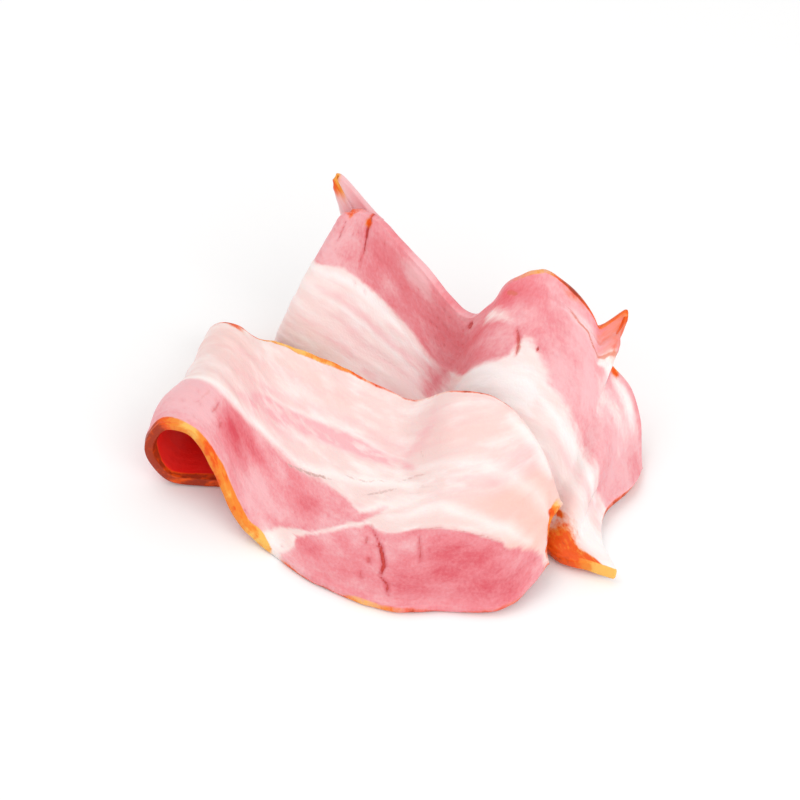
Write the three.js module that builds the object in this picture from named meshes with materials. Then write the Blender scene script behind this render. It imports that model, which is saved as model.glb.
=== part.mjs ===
// A folded portion of smoked streaky bacon: two thin rashers laid into each other on a flat surface.
// The front rasher rolls under at its left end, lies flat along its lean edge and lifts its skin edge.
// The rear rasher runs under it, and stands behind it in two tall folds with a valley between them.
// Millimetres. X runs to the right along the portion, Y to the back, Z up from the table.

import * as THREE from "three";

// One rasher's thickness, and how much thinner its trimmed long edges are.
const THICKNESS = 2.2;
const EDGE_THINNING = 0.3;

// The height of a rasher's middle surface where the rasher lies on the table.
const LYING = THICKNESS / 2;

// Facets along and across each rasher. Across, they crowd towards the two long edges.
const FRONT_STEPS = { along: 52, across: 18 };
const REAR_STEPS = { along: 90, across: 18 };
const EDGE_CROWDING = 0.1;

const LEAN_PINK = 0xe08a90;
const FAT_PINK = 0xf3d0c8;

// A station is one crosswise line of a rasher: its lean edge, its skin edge, and how far the middle
// of the line bulges away from the straight line between the two edges.
const station = (lean, skin, bulge = [0, 0, 0]) => ({ lean, skin, bulge });

// A pull moves a patch of the rasher: at = [along, across] from 0 to 1, spread = the patch's half size.
// A pulled-out tip is also thinner, by the share of the thickness given as thinning, or thicker where
// the share is negative. A squareness above 2 gives the patch steeper sides and a blunter end.
const pull = (at, spread, by, thinning = 0, squareness = 2) => ({ at, spread, by, thinning, squareness });

const FRONT_RASHER = {
  steps: FRONT_STEPS,
  stations: [
    // the tucked end, then the roll: its underside, its side, its top
    station([-33.5, -12.5, LYING], [-34, 22, LYING]),
    station([-39, -12.5, LYING], [-37, 24, LYING]),
    station([-46, -12, 2], [-39, 27, 2.5], [0.5, 0, 0]),
    station([-49.5, -11, 8], [-39.5, 27.5, 6.5], [1, 0, 0]),
    station([-46.5, -11, 14], [-37.5, 27.5, 9], [1, 0, 0.5]),
    // down from the roll to the table along the lean edge, while the skin edge stays up
    station([-40.5, -14.5, 15.3], [-34, 26, 9.5], [0.5, 0, 1.5]),
    station([-36, -20, 11.5], [-30, 22.5, 9], [0, 0, 2]),
    station([-31.5, -26.5, 5], [-25, 20.5, 9.5], [0, 0, 0.5]),
    station([-25, -32, LYING], [-18, 16.5, 9.5], [0, 0, -1.5]),
    // the broad flat stretch, whose skin edge dips and then humps
    station([-15, -41.5, LYING], [-8.5, 9.5, 10], [0, 0, -2.5]),
    station([-3, -47.5, LYING], [2.5, 2.5, 9.5], [0, 0, -3]),
    station([8.5, -48, LYING], [11.5, -1, 14.5], [0, 0, -3]),
    station([19, -48, 1.6], [21, -4.5, 14], [0, 0, -1]),
    // the narrowing right end, which lies on the rear rasher
    station([25.5, -43, 3.2], [27.5, -13.5, 10], [0, 0, 1]),
    station([28, -39, 4.5], [31, -25.5, 7], [-1.5, 0.5, 0]),
  ],
  pulls: [
    // the lean half swells over the roll
    pull([0.25, 0.22], [0.09, 0.16], [-1.5, 0, 1.6]),
    // the hump and the dip in the raised skin half
    pull([0.8, 0.72], [0.07, 0.22], [0, -1, 1.2]),
    pull([0.7, 0.8], [0.05, 0.2], [0, 0.5, -1]),
  ],
};

const REAR_RASHER = {
  steps: REAR_STEPS,
  stations: [
    // the right end, flat on the table from the lean corner to the skin corner
    station([47.5, -8, LYING], [41, -40, LYING], [-5, 0, 1]),
    station([48, -0.5, 4], [35.5, -38, 1.8], [-4.5, 0, -0.5]),
    station([46, 3.5, 11], [30.5, -35.5, 1.6], [-1, 1, -1]),
    station([41.5, 6, 17], [26, -27.5, LYING], [2, 2, -3]),
    // up the right fold to its crest
    station([38.6, 7.5, 27], [21.5, -19.5, LYING], [3, 2, -5]),
    station([31.5, 9.5, 34], [18, -12, LYING], [2, 1, -5]),
    station([26.5, 9.5, 36.5], [14, -6.5, LYING], [0, 1, -5]),
    station([21.5, 9.5, 34], [12, -2.5, LYING], [-1, 2, -5]),
    station([18, 10, 28], [10.5, 1.5, LYING], [-1, 3, -5]),
    // the valley
    station([14.5, 13, 23.5], [7.5, 4.5, LYING], [0, 4, -5]),
    station([9.5, 17, 25], [3.5, 6, LYING], [0, 5, -5]),
    // the left fold, up to its crest
    station([4.5, 21, 30], [-1.5, 7, LYING], [0, 4, -5]),
    station([-1, 25.5, 34], [-8, 9, LYING], [0, 3, -6]),
    station([-7.5, 29.5, 37], [-17.5, 17.5, LYING], [0, 1, -3]),
    station([-10.8, 30, 35.6], [-26.2, 26, LYING], [-0.6, 0, 0.6]),
    // round behind the left fold to the hidden end
    station([-10, 33.6, 32], [-24.6, 31.2, LYING]),
    station([-7.2, 36, 31.5], [-20.2, 34.8, LYING], [0, 1, 1]),
    station([-4, 34.8, 30.5], [-15.5, 35, LYING], [0, 2, 0]),
  ],
  pulls: [
    // the ear on the right fold's lean edge
    pull([0.2, 0], [0.0135, 0.12], [5.4, 3, 5.5], 0.4, 3),
    // the tongue behind the left fold
    pull([0.95, 0], [0.028, 0.13], [-5.8, 0.6, 9.2], 0.25, 3),
    // the end's rounded lean corner and its plump skin corner
    pull([0, 0.2], [0.05, 0.16], [2.4, -0.4, 0]),
    pull([0, 1], [0.07, 0.16], [0, 0, 0.8], -0.6),
  ],
};

// A smooth curve through one kind of point of every station.
function rail(stations, key) {
  const points = stations.map((line) => new THREE.Vector3(...line[key]));
  return new THREE.CatmullRomCurve3(points, false, "catmullrom", 0.5);
}

// How strongly a pull acts at a point of the rasher, from 0 to 1.
function strength({ at, spread, squareness }, along, across) {
  const run = Math.abs(along - at[0]) / spread[0];
  const rise = Math.abs(across - at[1]) / spread[1];
  return Math.exp(-(run ** squareness) - rise ** 2);
}

// The middle surface of a rasher as a function of along and across, each from 0 to 1.
function middleSurface({ stations, pulls }) {
  const lean = rail(stations, "lean");
  const skin = rail(stations, "skin");
  const bulge = rail(stations, "bulge");
  return (along, across) => {
    const point = lean.getPoint(along).lerp(skin.getPoint(along), across);
    point.addScaledVector(bulge.getPoint(along), 4 * across * (1 - across));
    for (const one of pulls) {
      point.addScaledVector(new THREE.Vector3(...one.by), strength(one, along, across));
    }
    point.z = Math.max(point.z, LYING);
    return point;
  };
}

// The unit normal of a surface, from its slopes just beside the point.
function surfaceNormal(surface, along, across) {
  const reach = 0.004;
  const clamp = (value) => Math.min(1, Math.max(0, value));
  const slopeAlong = surface(clamp(along + reach), across).sub(surface(clamp(along - reach), across));
  const slopeAcross = surface(along, clamp(across + reach)).sub(surface(along, clamp(across - reach)));
  return slopeAlong.cross(slopeAcross).normalize();
}

// The distance from the middle surface to either face: less at the trimmed edges and in pulled tips.
function halfThickness({ pulls }, along, across, atEdge) {
  let half = (THICKNESS / 2) * (atEdge ? 1 - EDGE_THINNING : 1);
  for (const one of pulls) half *= 1 - one.thinning * strength(one, along, across);
  return half;
}

// A closed sheet of the rasher's thickness: an upper and a lower face, and a rim that joins them.
function rasherGeometry(rasher) {
  const surface = middleSurface(rasher);
  const { along: rows, across: columns } = rasher.steps;
  const upper = [];
  const lower = [];
  for (let row = 0; row <= rows; row += 1) {
    for (let column = 0; column <= columns; column += 1) {
      const share = column / columns;
      const across = share - EDGE_CROWDING * Math.sin(2 * Math.PI * share);
      const middle = surface(row / rows, across);
      const normal = surfaceNormal(surface, row / rows, across);
      const atEdge = column === 0 || column === columns;
      const half = halfThickness(rasher, row / rows, across, atEdge);
      upper.push(...middle.clone().addScaledVector(normal, half).toArray());
      lower.push(...middle.clone().addScaledVector(normal, -half).toArray());
    }
  }

  const index = [];
  const under = (rows + 1) * (columns + 1);
  const vertex = (row, column) => row * (columns + 1) + column;
  const quad = (a, b, c, d) => index.push(a, b, c, a, c, d);
  for (let row = 0; row < rows; row += 1) {
    for (let column = 0; column < columns; column += 1) {
      const [a, b] = [vertex(row, column), vertex(row + 1, column)];
      const [c, d] = [vertex(row + 1, column + 1), vertex(row, column + 1)];
      quad(a, b, c, d);
      quad(under + d, under + c, under + b, under + a);
    }
  }
  const rim = (a, b) => quad(under + a, under + b, b, a);
  for (let row = 0; row < rows; row += 1) {
    rim(vertex(row, 0), vertex(row + 1, 0));
    rim(vertex(row + 1, columns), vertex(row, columns));
  }
  for (let column = 0; column < columns; column += 1) {
    rim(vertex(0, column + 1), vertex(0, column));
    rim(vertex(rows, column), vertex(rows, column + 1));
  }

  const geometry = new THREE.BufferGeometry();
  geometry.setAttribute("position", new THREE.Float32BufferAttribute([...upper, ...lower], 3));
  geometry.setIndex(index);
  geometry.computeVertexNormals();
  return geometry;
}

function rasherMesh(name, rasher, color) {
  const material = new THREE.MeshStandardMaterial({ color, roughness: 0.42, metalness: 0 });
  const mesh = new THREE.Mesh(rasherGeometry(rasher), material);
  mesh.name = name;
  return mesh;
}

const portion = new THREE.Group();
portion.add(rasherMesh("front_rasher", FRONT_RASHER, FAT_PINK));
portion.add(rasherMesh("rear_rasher", REAR_RASHER, LEAN_PINK));

// The origin is the middle of the portion's footprint, on the table.
const bounds = new THREE.Box3().setFromObject(portion);
const centre = bounds.getCenter(new THREE.Vector3());
portion.position.set(-centre.x, -centre.y, -bounds.min.z);

export default portion;
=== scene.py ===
"""A folded portion of smoked streaky bacon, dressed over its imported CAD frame.

Two thin rashers lie in each other. The front one rolls under at its left end, the rear one stands
behind it in two folds. Shapes are given in millimetres, in the portion's own drawing frame, and are
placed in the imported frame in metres.
"""

from __future__ import annotations

import logging
from dataclasses import dataclass, field
from enum import Enum
from typing import Callable, Sequence

import bpy
import numpy as np
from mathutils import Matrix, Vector


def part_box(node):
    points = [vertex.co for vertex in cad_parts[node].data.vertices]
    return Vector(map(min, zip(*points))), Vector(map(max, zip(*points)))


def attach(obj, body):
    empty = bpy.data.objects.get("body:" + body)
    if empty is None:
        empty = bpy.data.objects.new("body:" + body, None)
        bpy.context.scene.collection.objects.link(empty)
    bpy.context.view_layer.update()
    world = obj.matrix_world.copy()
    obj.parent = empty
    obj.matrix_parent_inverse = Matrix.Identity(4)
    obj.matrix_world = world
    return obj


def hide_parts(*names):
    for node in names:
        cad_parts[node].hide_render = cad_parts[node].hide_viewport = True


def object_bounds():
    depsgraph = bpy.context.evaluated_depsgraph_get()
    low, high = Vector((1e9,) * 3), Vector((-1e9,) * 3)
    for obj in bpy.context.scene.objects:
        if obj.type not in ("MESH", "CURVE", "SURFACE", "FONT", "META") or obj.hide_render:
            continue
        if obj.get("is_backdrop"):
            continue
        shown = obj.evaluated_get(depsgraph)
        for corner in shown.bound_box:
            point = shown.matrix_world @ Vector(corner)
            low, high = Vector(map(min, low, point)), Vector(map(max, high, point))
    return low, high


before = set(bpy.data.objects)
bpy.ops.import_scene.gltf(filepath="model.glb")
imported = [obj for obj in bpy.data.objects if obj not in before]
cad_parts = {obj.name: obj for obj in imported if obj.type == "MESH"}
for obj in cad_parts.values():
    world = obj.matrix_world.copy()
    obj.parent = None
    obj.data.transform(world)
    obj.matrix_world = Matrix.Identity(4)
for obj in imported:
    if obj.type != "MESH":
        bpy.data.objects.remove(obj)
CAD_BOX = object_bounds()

LOG = logging.getLogger("bacon")
MM = 0.001

# A rasher's thickness, and the height of its middle where it lies on the table, in mm.
THICKNESS = 2.2
LYING = THICKNESS / 2

# The share by which a rasher is thinner at its long edges, and how far in from them that begins.
EDGE_THINNING = 0.16
EDGE_TAPER = 1.5

# How strongly the net's columns crowd towards the two long edges, as the share of their own step.
EDGE_CROWDING = 0.1

# How far beside a place, as a share of the rasher, its slopes are read.
SLOPE_REACH = 0.003

# The rounding of an edge: how far its rim bulges out, in mm, and how squarely it turns.
RIM_BULGE = 0.42
RIM_OUT_POWER = 0.75
RIM_DOWN_POWER = 0.6

# How deep cracks, tears and creases are cut, in mm, and where the side of a cut begins and ends.
CUT_DEPTHS = (0.55, 0.15, 0.2)
CUT_SIDE = (-0.35, 0.2)

# How fully a streak keeps its width towards its two ends.
TAPER_POWER = 4

# The fat stands this much above the lean, and the relief fades out this far from an edge, in mm.
FAT_STANDS = 0.10
RELIEF_MARGIN = 1.2

# How far in from a long edge its waviness dies away, in mm.
WAVER_FADE = 3

# The columns on which a rasher's width and spine are measured.
MEASURED_COLUMNS = 32

# The smoked tint: the charring of a stained patch, partly painted shade, the limits of charring, the
# softness of the tint's border, and the least reach that its raggedness counts with, in mm.
STAIN_AND_SHADE_CHAR = 0.65
CHAR_LIMITS = (-1.2, 1.6)
TINT_SOFTNESS = 0.2
LEAST_REACH = 0.3

# The lowest that a face may lie above the table, in mm.
TABLE_CLEARANCE = 0.02

Triple = tuple[float, float, float]
Pair = tuple[float, float]


class Face(Enum):
    """The two faces of a rasher."""

    UPPER = 1
    LOWER = -1


class Mark(Enum):
    """The kinds of line with a crisp border, each by the name of its values on the mesh."""

    CRACK = "crack"
    TEAR = "tear"
    CREASE = "crease"


class Edge(Enum):
    """The four edges of a rasher, each with the sheet axis it closes and the side it is on."""

    FIRST_END = (0, 0)
    LAST_END = (0, 1)
    LEAN = (1, 0)
    SKIN = (1, 1)


@dataclass(frozen=True)
class Station:
    """One crosswise line of a rasher: its lean edge, its skin edge and the bulge of its middle."""

    lean: Triple
    skin: Triple
    bulge: Triple = (0, 0, 0)


@dataclass(frozen=True)
class Pull:
    """A patch of a rasher that is pulled out of the smooth sheet, and thinned while it is pulled.

    A thinning below 0 thickens it, and a squareness above 2 gives it steeper sides.
    """

    at: Pair
    spread: Pair
    by: Triple
    thinning: float = 0.0
    squareness: float = 2.0


@dataclass(frozen=True)
class Streak:
    """A line across the meat, such as a fat seam, a crack or a tear.

    Points are (station number, share of the way across), half_width is in millimetres, and soft is
    the distance over which the line fades out, unless it is a crack, a tear or a crease.
    """

    points: Sequence[Pair]
    half_width: float
    strength: float = 1.0
    soft: float = 0.4


@dataclass(frozen=True)
class Blotch:
    """A soft oval patch of another tone. at is (station number, share across), size in millimetres."""

    at: Pair
    size: Pair
    strength: float = 1.0


@dataclass(frozen=True)
class Scatter:
    """A loose scatter of short streaks of one kind.

    stations and across bound the area, length is a range in mm, crosswise streaks lie across the
    rasher instead of along it, and disorder is the spread of their directions, in radians.
    """

    mark: Mark
    stations: Pair
    across: Pair
    count: int
    length: Pair
    half_width: float
    strength: float
    crosswise: bool = False
    disorder: float = 0.4

    def streaks(self, sheet: Sheet, seed: int) -> list[Streak]:
        """Lays the streaks out.

        Args:
            sheet: The rasher's net.
            seed: The seed of the scatter.

        Returns:
            The streaks, each straight.
        """
        rng = np.random.default_rng(seed)
        found = []
        for _ in range(self.count):
            station, across = rng.uniform(*self.stations), rng.uniform(*self.across)
            reach = rng.uniform(*self.length) / 2
            turn = rng.normal(np.pi / 2 if self.crosswise else 0, self.disorder)
            run = reach * np.cos(turn) / (sheet.flat_x(station + 0.5) - sheet.flat_x(station - 0.5))
            rise = reach * np.sin(turn) / sheet.flat_width(station)
            ends = ((station - run, across - rise), (station + run, across + rise))
            found.append(Streak(ends, self.half_width, self.strength * rng.uniform(0.5, 1)))
        return found


@dataclass(frozen=True)
class Rim:
    """How one edge is tinted: strength, char and reach onto the face, in mm, as curves along it."""

    edge: Edge
    smoke: Sequence[Pair]
    char: Sequence[Pair] = ((0, 0),)
    reach: Sequence[Pair] = ((0, 0.8),)


def smooth_step(value: np.ndarray, low: float, high: float) -> np.ndarray:
    """Returns 0 below low, 1 above high and a soft ramp between them.

    Args:
        value: The values to read.
        low: Where the ramp begins.
        high: Where it ends.

    Returns:
        One share for each value.
    """
    share = np.clip((value - low) / (high - low), 0, 1)
    return share * share * (3 - 2 * share)


def smooth_curve(points: Sequence[Pair], at: np.ndarray) -> np.ndarray:
    """Reads a smooth curve through points.

    Args:
        points: (position, value) pairs in rising order of position.
        at: The positions to read.

    Returns:
        The curve's values at those positions.
    """
    xs, ys = np.array(points, float).T
    if len(xs) == 1:
        return np.full_like(at, ys[0])
    slopes = np.gradient(ys, xs)
    at = np.clip(at, xs[0], xs[-1])
    left = np.clip(np.searchsorted(xs, at, "right") - 1, 0, len(xs) - 2)
    span = xs[left + 1] - xs[left]
    w = (at - xs[left]) / span
    return (
        (2 * w**3 - 3 * w**2 + 1) * ys[left]
        + (w**3 - 2 * w**2 + w) * span * slopes[left]
        + (3 * w**2 - 2 * w**3) * ys[left + 1]
        + (w**3 - w**2) * span * slopes[left + 1]
    )


def rail(points: Sequence[Triple], share: np.ndarray) -> np.ndarray:
    """Reads a uniform Catmull-Rom curve through points.

    Args:
        points: The points the curve passes through.
        share: Positions along the curve, from 0 to 1.

    Returns:
        One point of the curve for each position.
    """
    known = np.array(points, float)
    run = (len(known) - 1) * np.asarray(share, float)
    left = np.clip(np.floor(run).astype(int), 0, len(known) - 2)
    w = (run - left)[:, None]
    padded = np.vstack([2 * known[0] - known[1], known, 2 * known[-1] - known[-2]])
    before, start, end, after = (padded[left + k] for k in range(4))
    leave, arrive = (end - before) / 2, (after - start) / 2
    return (
        (2 * w**3 - 3 * w**2 + 1) * start
        + (w**3 - 2 * w**2 + w) * leave
        + (3 * w**2 - 2 * w**3) * end
        + (w**3 - w**2) * arrive
    )


def unevenness(x: np.ndarray, y: np.ndarray, size: Pair, seed: int) -> np.ndarray:
    """Makes smooth seeded unevenness between -1 and 1.

    Args:
        x: Places along the rasher, in mm.
        y: Places across the rasher, in mm.
        size: The size of one lump along and across, in mm.
        seed: The seed of the pattern.

    Returns:
        The unevenness at each place.
    """
    table = np.random.default_rng(seed).uniform(-1, 1, (64, 64))
    u, v = x / size[0] + 100, y / size[1] + 100
    i, j = np.floor(u).astype(int), np.floor(v).astype(int)
    a, b = smooth_step(u - i, 0, 1), smooth_step(v - j, 0, 1)
    corner = lambda p, q: table[(i + p) % 64, (j + q) % 64]
    low = corner(0, 0) * (1 - a) + corner(1, 0) * a
    high = corner(0, 1) * (1 - a) + corner(1, 1) * a
    return low * (1 - b) + high * b


@dataclass(frozen=True)
class Lumps:
    """One kind of unevenness: its lumps' size along and across, in mm, its height and its seed."""

    size: Pair
    height: float
    seed: int

    def over(self, sheet: Sheet, seed: int) -> np.ndarray:
        """Returns the unevenness at every net point of a rasher with that seed."""
        return self.height * unevenness(sheet.x, sheet.y, self.size, self.seed + seed)


# The relief of a face. The first two are shares of a rasher's relief, the others are in mm.
RIDGES = Lumps((14, 2.6), 0.55, 0)
SWELL = Lumps((11, 8), 0.9, 1)
FIBRES = Lumps((5, 0.9), 0.05, 2)
PITS = Lumps((1.6, 1.1), 0.035, 3)

# The raggedness of the tint's border, as a share of its reach.
RAGGED = Lumps((3.5, 30), 0.45, 11)

# The waviness of a long edge. The first is a share of a rasher's waver, the other is in mm.
LONG_WAVER = Lumps((7, 60), 1.0, 21)
SHORT_WAVER = Lumps((2.2, 60), 0.12, 22)

# How far drawn lines stray, in mm.
BROAD_SWAY = Lumps((8, 8), 0.55, 31)
FINE_SWAY = Lumps((2.1, 2.1), 0.18, 32)

# What is added to a rasher's seed for the sway across it, for its lower face and for its scatters.
ACROSS_SEED, LOWER_SEED, SCATTER_SEED = 2, 50, 61


@dataclass
class Sheet:
    """A rasher's grid of places: a fine net over one face, with rings that round its four edges.

    station and across hold each net point's place on the rasher; x and y hold the same place on the
    rasher laid flat, in mm. drawn_x and drawn_y are the same places a little displaced, so that what
    is drawn with them gets a natural, unsteady line.
    """

    station: np.ndarray
    across: np.ndarray
    x: np.ndarray
    y: np.ndarray
    width: np.ndarray
    length: float
    flat_x: Callable[[float], float]
    flat_width: Callable[[float], float]
    seed: int
    rings: tuple[np.ndarray, np.ndarray]
    drawn_x: np.ndarray = field(init=False)
    drawn_y: np.ndarray = field(init=False)

    def __post_init__(self) -> None:
        """Works out the displaced places."""
        along, across = self.seed, self.seed + ACROSS_SEED
        self.drawn_x = self.x + BROAD_SWAY.over(self, along) + FINE_SWAY.over(self, along)
        self.drawn_y = self.y + BROAD_SWAY.over(self, across) + FINE_SWAY.over(self, across)

    def place(self, point: Pair) -> np.ndarray:
        """Returns the flat place, in mm, of a (station, across) point."""
        return np.array([self.flat_x(point[0]), point[1] * self.flat_width(point[0])])

    def level(self, streak: Streak) -> np.ndarray:
        """Measures how deep every net point lies inside one streak, which tapers to its two ends.

        Args:
            streak: The streak to measure.

        Returns:
            The distance in mm from the streak's border, above 0 inside it.
        """
        points = np.array([self.place(point) for point in streak.points])
        spans = np.linalg.norm(np.diff(points, axis=0), axis=1)
        starts = np.concatenate([[0], np.cumsum(spans)])
        best = np.full(self.x.shape, -1e9)
        for (ax, ay), (bx, by), span, start in zip(points[:-1], points[1:], spans, starts):
            run = np.array([bx - ax, by - ay])
            along, rise = self.drawn_x - ax, self.drawn_y - ay
            share = np.clip((along * run[0] + rise * run[1]) / max(float(run @ run), 1e-9), 0, 1)
            gap = np.hypot(along - share * run[0], rise - share * run[1])
            whole = (start + share * span) / max(starts[-1], 1e-9)
            half = streak.half_width * (1 - np.abs(2 * whole - 1) ** TAPER_POWER)
            best = np.maximum(best, half - gap)
        return best

    def line(self, streak: Streak) -> np.ndarray:
        """Returns one streak's strength at every net point."""
        return streak.strength * smooth_step(self.level(streak), -streak.soft, streak.soft)

    def cuts(self, streaks: Sequence[Streak]) -> tuple[np.ndarray, np.ndarray]:
        """Draws streaks that need a crisp border.

        Args:
            streaks: The streaks to draw.

        Returns:
            The depth inside the nearest streak in mm, and that streak's strength.
        """
        depth, strength = np.full(self.x.shape, -1.0), np.zeros(self.x.shape)
        for streak in streaks:
            level = self.level(streak)
            strength = np.where(level > depth, streak.strength, strength)
            depth = np.maximum(depth, level)
        return np.clip(depth, -1, 1), strength

    def lines(self, streaks: Sequence[Streak]) -> np.ndarray:
        """Returns the strongest of several streaks at every net point.

        Args:
            streaks: The streaks, which may be none.

        Returns:
            The strength at every net point.
        """
        total = np.zeros_like(self.x)
        for streak in streaks:
            total = np.maximum(total, self.line(streak))
        return total

    def patches(self, blotches: Sequence[Blotch]) -> np.ndarray:
        """Returns the sum of several blotches at every net point.

        Args:
            blotches: The blotches, which may be none.

        Returns:
            The sum at every net point.
        """
        total = np.zeros_like(self.x)
        for blotch in blotches:
            cx, cy = self.place(blotch.at)
            long, wide = blotch.size
            gap = np.hypot((self.drawn_x - cx) / long, (self.drawn_y - cy) / wide)
            total += blotch.strength * np.exp(-(gap**2))
        return total

    def edge_gap(self, edge: Edge) -> np.ndarray:
        """Returns each net point's distance from one edge, in mm.

        Args:
            edge: The edge to measure from.

        Returns:
            The distances, on the rasher laid flat.
        """
        axis, side = edge.value
        if axis == 0:
            return self.x if side == 0 else self.length - self.x
        return self.y if side == 0 else self.width - self.y

    def rim_gap(self, edge: Edge, face: Face) -> np.ndarray:
        """Measures from an edge's upper corner: onto the face above 0, down the rim below 0.

        Args:
            edge: The edge to measure from.
            face: The face whose net points are wanted.

        Returns:
            The distance in mm at every net point.
        """
        gap, ring = self.edge_gap(edge), self.rings[edge.value[0]]
        if face is Face.UPPER:
            return gap - THICKNESS / 2 * ring
        return np.where((ring > 0) & (gap < 1e-6), THICKNESS / 2 * ring - THICKNESS, gap)


@dataclass(frozen=True)
class Marbling:
    """The lean, the fat and their tones on a rasher's cut faces."""

    lean_border: Sequence[Pair]
    border_soft: Sequence[Pair]
    seams: Sequence[Streak]
    muscles: Sequence[Streak]
    blush: Sequence[Streak]
    blush_patches: Sequence[Blotch]
    bright: Sequence[Streak]
    bright_patches: Sequence[Blotch]
    red: Sequence[Blotch]
    salmon: Sequence[Blotch]

    def values(self, sheet: Sheet) -> dict[str, np.ndarray]:
        """Works out how deep each net point lies in the lean, and its tones.

        Args:
            sheet: The rasher's net.

        Returns:
            The values by the names that the finish reads.
        """
        border = smooth_curve(self.lean_border, sheet.station) * sheet.width
        level = (border - sheet.y) / smooth_curve(self.border_soft, sheet.station)
        for seam in self.seams:
            level = np.minimum(level, -seam.strength * sheet.level(seam) / seam.soft)
        for muscle in self.muscles:
            level = np.maximum(level, muscle.strength * sheet.level(muscle) / muscle.soft)
        return {
            "lean_level": np.clip(level, -3, 3),
            "blush": np.clip(sheet.lines(self.blush) + sheet.patches(self.blush_patches), 0, 1),
            "bright": np.clip(sheet.lines(self.bright) + sheet.patches(self.bright_patches), 0, 1),
            "red": np.clip(sheet.patches(self.red), -1, 1.3),
            "salmon": np.clip(sheet.patches(self.salmon), 0, 1),
        }


@dataclass(frozen=True)
class Cuts:
    """The cracks, tears and creases in a rasher's faces."""

    cracks: Sequence[Streak]
    tears: Sequence[Streak]
    creases: Sequence[Streak]
    scattered: Sequence[Scatter]

    def values(self, sheet: Sheet, seed: int) -> dict[str, np.ndarray]:
        """Works out how deep each net point lies in each kind of line, and the line's strength.

        Args:
            sheet: The rasher's net.
            seed: The rasher's seed.

        Returns:
            The values by the names that the finish reads.
        """
        found = {}
        for mark, drawn in zip(Mark, (self.cracks, self.tears, self.creases)):
            streaks = list(drawn)
            for number, scatter in enumerate(self.scattered):
                if scatter.mark is mark:
                    streaks += scatter.streaks(sheet, seed + SCATTER_SEED + number)
            found[mark.value], found[mark.value + "_strength"] = sheet.cuts(streaks)
        return found


@dataclass(frozen=True)
class Smoke:
    """The smoked tint: stained patches and rims, partly painted shade, and painted shade on the lower face.
    """

    stains_and_shade: Sequence[Blotch]
    rims: Sequence[Rim]
    deep: Sequence[Pair] = ((0, 0),)

    def values(self, sheet: Sheet, face: Face, seed: int) -> dict[str, np.ndarray]:
        """Works out the tint of one face and of its half of the rims.

        Args:
            sheet: The rasher's net.
            face: The face to work out.
            seed: The rasher's seed.

        Returns:
            Tint strength, charring and painted shade (-1 yellow, 0 orange, 1 brown), and the hollow's
            painted shade.
        """
        smoke = np.clip(sheet.patches(self.stains_and_shade), 0, 1)
        char = STAIN_AND_SHADE_CHAR * smoke
        ragged = RAGGED.over(sheet, seed)
        for rim in self.rims:
            where = sheet.across if rim.edge.value[0] == 0 else sheet.station
            reach = smooth_curve(rim.reach, where)
            reach = reach + ragged * np.maximum(np.abs(reach), LEAST_REACH)
            soft = TINT_SOFTNESS * (1 + np.abs(reach))
            near = 1 - smooth_step(sheet.rim_gap(rim.edge, face), reach - soft, reach + soft)
            smoke = np.maximum(smoke, near * np.clip(smooth_curve(rim.smoke, where), 0, 1))
            char = char * (1 - near) + near * smooth_curve(rim.char, where)
        # the deep red is painted shade of the roll's hollow, kept to the lower face
        deep = np.clip(smooth_curve(self.deep, sheet.station), 0, 1)
        return {
            "smoke": smoke,
            "char": np.clip(char, *CHAR_LIMITS),
            "deep": deep if face is Face.LOWER else 0 * deep,
        }


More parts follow.
